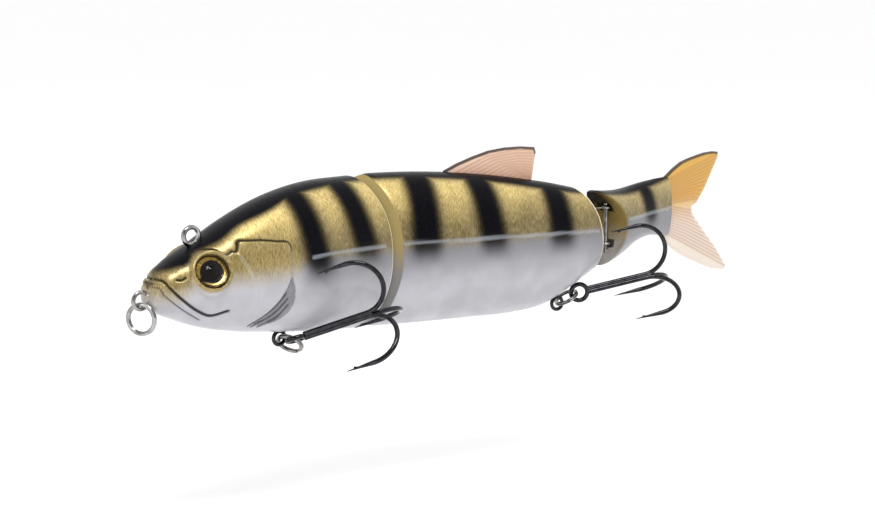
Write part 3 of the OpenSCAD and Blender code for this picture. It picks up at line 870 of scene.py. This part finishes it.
def ring_frame(node):
    """Centre of a ring-shaped CAD node, and two directions in its plane."""
    p = vertices(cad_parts[node])
    centre = (p.max(axis=0) + p.min(axis=0)) / 2
    _, _, axes = np.linalg.svd(p - p.mean(axis=0), full_matrices=False)
    return centre, axes[0], axes[1]


# ---- Camera, floor and light, in metres ----
CAMERA_AZIMUTH, CAMERA_ELEVATION = -40, 9
CAMERA_LENS, CAMERA_DISTANCE = 74.06, 0.419
# Shift to the right and up, as a share of the distance
CAMERA_RIGHT, CAMERA_UP = 0.13694, -0.011944
FLOOR_Z, FLOOR_HALF = -0.075, 12
SKY_LIT, SKY_DARK = 1.2, 0.3
SKY_DARK_TOWARD = (-0.64, -0.76, -0.1)


def camera():
    """Looks at the origin from the photograph's side, shifted so that the fish sits as it does there."""
    azimuth, elevation = math.radians(CAMERA_AZIMUTH), math.radians(CAMERA_ELEVATION)
    level = math.cos(elevation)
    back = Vector((math.sin(azimuth) * level, -math.cos(azimuth) * level, math.sin(elevation)))
    right = Vector((math.cos(azimuth), math.sin(azimuth), 0))
    up = back.cross(right)
    data = bpy.data.cameras.new("camera")
    data.lens, data.sensor_width = CAMERA_LENS, 36
    data.clip_start, data.clip_end = 0.01, 20
    ob = bpy.data.objects.new("camera", data)
    bpy.context.collection.objects.link(ob)
    place = CAMERA_DISTANCE * (back + CAMERA_RIGHT * right + CAMERA_UP * up)
    ob.matrix_world = Matrix.Translation(place) @ Matrix((right, up, back)).transposed().to_4x4()
    bpy.context.scene.camera = ob


def area_light(name, place, aim, width, height, watts):
    data = bpy.data.lights.new(name, "AREA")
    data.shape, data.size, data.size_y, data.energy = "RECTANGLE", width, height, watts
    ob = bpy.data.objects.new(name, data)
    ob.location = place
    ob.rotation_euler = (Vector(aim) - Vector(place)).to_track_quat("-Z", "Y").to_euler()
    bpy.context.collection.objects.link(ob)


def studio():
    """White surroundings, darker in front of the fish, with a light above and a weak one at the side."""
    bpy.context.scene.view_settings.view_transform = "Standard"
    world = bpy.data.worlds.new("studio")
    bpy.context.scene.world = world
    world.use_nodes = True
    nodes, links = world.node_tree.nodes, world.node_tree.links
    sky = nodes.new("ShaderNodeTexCoord")
    toward = nodes.new("ShaderNodeVectorMath")
    toward.operation = "DOT_PRODUCT"
    toward.inputs[1].default_value = SKY_DARK_TOWARD
    links.new(sky.outputs["Generated"], toward.inputs[0])
    shade = nodes.new("ShaderNodeMapRange")
    shade.interpolation_type = "SMOOTHSTEP"
    for key, value in (("From Min", 0.0), ("From Max", 0.75), ("To Min", SKY_LIT), ("To Max", SKY_DARK)):
        shade.inputs[key].default_value = value
    links.new(toward.outputs["Value"], shade.inputs["Value"])
    links.new(shade.outputs["Result"], nodes["Background"].inputs["Strength"])
    nodes["Background"].inputs["Color"].default_value = (1, 1, 1, 1)
    area_light("key", (-0.12, -0.38, 0.62), (0.07, 0, -0.01), 0.34, 0.18, 3.2)
    area_light("side", (-0.6, -0.25, 0.12), (0.05, 0, -0.01), 0.3, 0.3, 0.6)
    reach = FLOOR_HALF / MM
    corners = [(x * reach, y * reach, FLOOR_Z / MM) for x, y in ((-1, -1), (1, -1), (1, 1), (-1, 1))]
    ob = mesh_object("floor", corners, [(0, 1, 2, 3)])
    s = Surface("floor_paper", Roughness=0.9)
    n = s.noise(s.object_vector(), 0.02)
    s.link(s.mix(n, (0.97, 0.97, 0.97), (0.99, 0.99, 0.99)), "Base Color")
    ob.data.materials.append(s.material)


# ---- Building ----
def put(node, material):
    """Gives a CAD node its material."""
    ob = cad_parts[node]
    ob.data.materials.clear()
    ob.data.materials.append(material)


def open_up(ob, section, place):
    """Cuts the openings that the joints' eyes and pins and the tail fin need."""
    if section == "middle":
        for z in FRONT_EYE_Z:
            low = (FRONT_PIN - FRONT_SLOT_AHEAD, -FRONT_SLOT_Y, z - FRONT_SLOT_Z)
            high = (FRONT_PIN + FRONT_SLOT_BEHIND, FRONT_SLOT_Y, z + FRONT_SLOT_Z)
            cut(ob, box_cutter(low, high, place))
    if section == "tail":
        for z in REAR_EYE_Z:
            cut(ob, drum_cutter((REAR_PIN, 0, z), REAR_POCKET_R, REAR_POCKET_H, place))
        # The fin's slot goes right through the tail's rear, so its cutter is longer and taller than that
        cut(ob, box_cutter((FIN_SLOT_X, -FIN_T / 2, -20), (FIN_SLOT_X + 10, FIN_T / 2, 10), place))


def body_sections(material):
    """Both halves of each section, shaped, opened and painted."""
    # Name, place, end faces, where the skin starts and stops, points along and round it, relief
    sections = [
        ("head", IN_HEAD, head_front, head_rear, SNOUT_X, HEAD_RIM_X, 270, 190, head_relief),
        ("middle", IN_MIDDLE, middle_front, middle_rear, NOSE_RIM_X, MIDDLE_RIM_X, 210, 120, None),
        ("tail", IN_TAIL, tail_front, tail_rear, TAIL_RIM_X, TAIL_END_X, 110, 90, None)]
    for section, place, *shape in sections:
        for side in ("left", "right"):
            ob = half_section(section, side, place, *shape)
            fix_normals(ob)
            open_up(ob, section, place)
            paint(ob, place, section)
            finish_shading(ob)
            ob.data.materials.clear()
            ob.data.materials.append(material)
            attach(ob, section)
            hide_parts(f"{section}_shell_{side}")


def fins():
    """The two soft fins, each an outline as (x, z) and rays between its first and last ray."""
    top = [(75, 8.6), (73.7, 10.4), (77.5, 12.1), (82.2, 13.7), (86.9, 15), (91.7, 15.6), (96.6, 15.7),
           (100.8, 15.3), (101.2, 14), (100.6, 10.6), (100, 6.9), (99.5, 5.4)]
    rays = fan([(76.5, 9.6), (86, 13.6), (94, 14.9), (100.8, 14.6)],
               [(94.5, 7), (97, 8), (99, 7.5), (99.8, 6.7)], 11)
    soft = soft_fin("dorsal_soft", (0.78, 0.50, 0.36), (0.88, 0.64, 0.50))
    fin("dorsal_fin_soft", top, rays, top[1:9], IN_MIDDLE, "middle", (6, 15), "dorsal_fin", soft)

    tail = [(143, 2), (149, 2.6), (148.8, 4.3), (152.3, 6.3), (155.9, 7.9), (159.5, 8.7), (163.2, 9.3),
            (167, 9.8), (170.8, 9.9), (173.2, 9.6), (173.3, 8.3), (171, 5), (167.4, -0.2), (163.7, -4.2),
            (161.4, -5.1), (161.5, -6.8), (163.9, -9.4), (167.9, -13.3), (171.9, -16.9), (175.9, -21.2),
            (178.5, -24.4), (177.1, -25.1), (172.1, -24.3), (168.3, -23.1), (164.4, -21.6), (160.6, -20.2),
            (156.8, -18.6), (153, -16.5), (149.3, -13.9), (149, -10.6), (143, -9.6)]
    rays = fan([(150, 3.6), (160, 6), (174, 9.4)], [(150, -3.4), (162, -3), (163, -4.6)], 12)
    rays += fan([(150, -4), (160, -6), (163, -6.5)], [(150, -12), (157, -15), (177.5, -24)], 12)
    soft = soft_fin("tail_soft", (0.88, 0.78, 0.68), (0.76, 0.44, 0.07))
    fin("tail_fin_soft", tail, rays, tail[1:10], IN_TAIL, "tail", (-10, 1), "tail_fin", soft)


def hardware():
    """Materials for the CAD nodes that stay, and the three split rings' coils."""
    steel = metal("bright_steel", (0.22, 0.215, 0.21), (0.42, 0.41, 0.40), 0.16, 0.02)
    black = metal("black_nickel", (0.008, 0.008, 0.010), (0.028, 0.028, 0.034), 0.14, 0.02, coat=0.4)
    dark_steel = metal("ring_steel", (0.16, 0.155, 0.15), (0.36, 0.35, 0.34), 0.22, 0.02)
    lead = metal("ballast_metal", (0.25, 0.25, 0.26), (0.4, 0.4, 0.42), 0.5, 0.05)
    gold, dark, clear = eye_gold(), eye_black(), eye_clear()
    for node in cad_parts:
        if "treble" in node or "hanger" in node:
            put(node, black)
        elif "iris" in node:
            put(node, gold)
        elif "pupil" in node:
            put(node, dark)
        elif "lens" in node:
            put(node, clear)
        elif "ballast" in node:
            put(node, lead)
        elif "joint" in node:
            put(node, dark_steel)
        elif "shell" not in node and not node.endswith("fin"):
            put(node, steel)
    split_ring("nose_ring_coil", "nose_split_ring", "nose_ring", NOSE_RING_D, steel)
    split_ring("front_ring_coil", "front_hook_split_ring", "front_ring", HOOK_RING_D, dark_steel)
    split_ring("rear_ring_coil", "rear_hook_split_ring", "rear_ring", HOOK_RING_D, dark_steel)


camera()
studio()
body_sections(painted_shell())
fins()
hardware()
